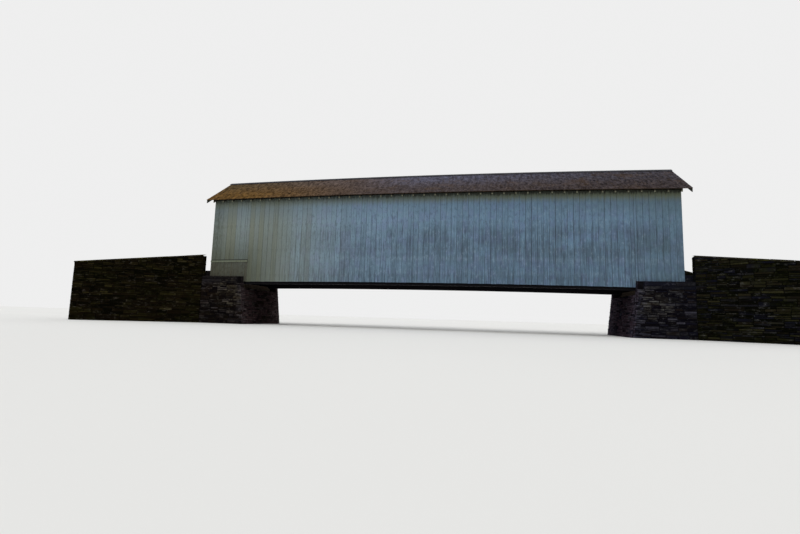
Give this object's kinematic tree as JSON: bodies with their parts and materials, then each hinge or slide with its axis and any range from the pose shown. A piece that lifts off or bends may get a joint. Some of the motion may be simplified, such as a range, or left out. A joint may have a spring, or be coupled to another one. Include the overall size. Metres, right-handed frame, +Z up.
{
  "type": "covered bridge",
  "caption": "Timber covered bridge with white board siding and a shingled gable roof on battered stone abutments with flared wing walls.",
  "frame": {"origin": "under the middle of the bridge, level with the foot of the masonry", "axes": "+X along the roadway to the right end, +Y across it away from the shown side, +Z up"},
  "size_m": [39.0336, 11.3492, 9.439],
  "materials": {
    "rubble_stone": "dark coursed rubble masonry",
    "coping_stone": "weathered flat coping slabs",
    "painted_boards": "weathered white-painted vertical boards",
    "wood_shingles": "weathered split wood shingles",
    "floor_planks": "worn sawn planks",
    "rough_timber": "rough-sawn aged timber"
  },
  "bodies": {
    "root": {"back_bottom_chord": "rough_timber", "back_girts": "rough_timber", "back_rafters": "rough_timber", "back_roof_slope": "wood_shingles", "back_siding": "painted_boards", "back_top_chord": "rough_timber", "back_truss_braces": "rough_timber", "back_truss_posts": "rough_timber", "barge_boards": "painted_boards", "deck_planks": "floor_planks", "floor_beams": "rough_timber", "floor_joists": "rough_timber", "front_bottom_chord": "rough_timber", "front_girts": "rough_timber", "front_rafters": "rough_timber", "front_roof_slope": "wood_shingles", "front_siding": "painted_boards", "front_siding_ledge": "painted_boards", "front_siding_patch": "painted_boards", "front_top_chord": "rough_timber", "front_truss_braces": "rough_timber", "front_truss_posts": "rough_timber", "knee_braces": "rough_timber", "left_abutment": "rubble_stone", "left_back_wall": "rubble_stone", "left_back_wing_wall": "rubble_stone", "left_bearing_timbers": "rough_timber", "left_cheek_walls": "rubble_stone", "left_front_wing_wall": "rubble_stone", "left_portal_gable": "painted_boards", "left_portal_jambs": "painted_boards", "left_wing_copings": "coping_stone", "portal_headers": "rough_timber", "ridge_cap": "wood_shingles", "right_abutment": "rubble_stone", "right_back_wall": "rubble_stone", "right_back_wing_wall": "rubble_stone", "right_bearing_timbers": "rough_timber", "right_cheek_walls": "rubble_stone", "right_front_wing_wall": "rubble_stone", "right_portal_gable": "painted_boards", "right_portal_jambs": "painted_boards", "right_wing_copings": "coping_stone", "tie_beams": "rough_timber", "upper_lateral_braces": "rough_timber"}
  },
  "joints": []
}
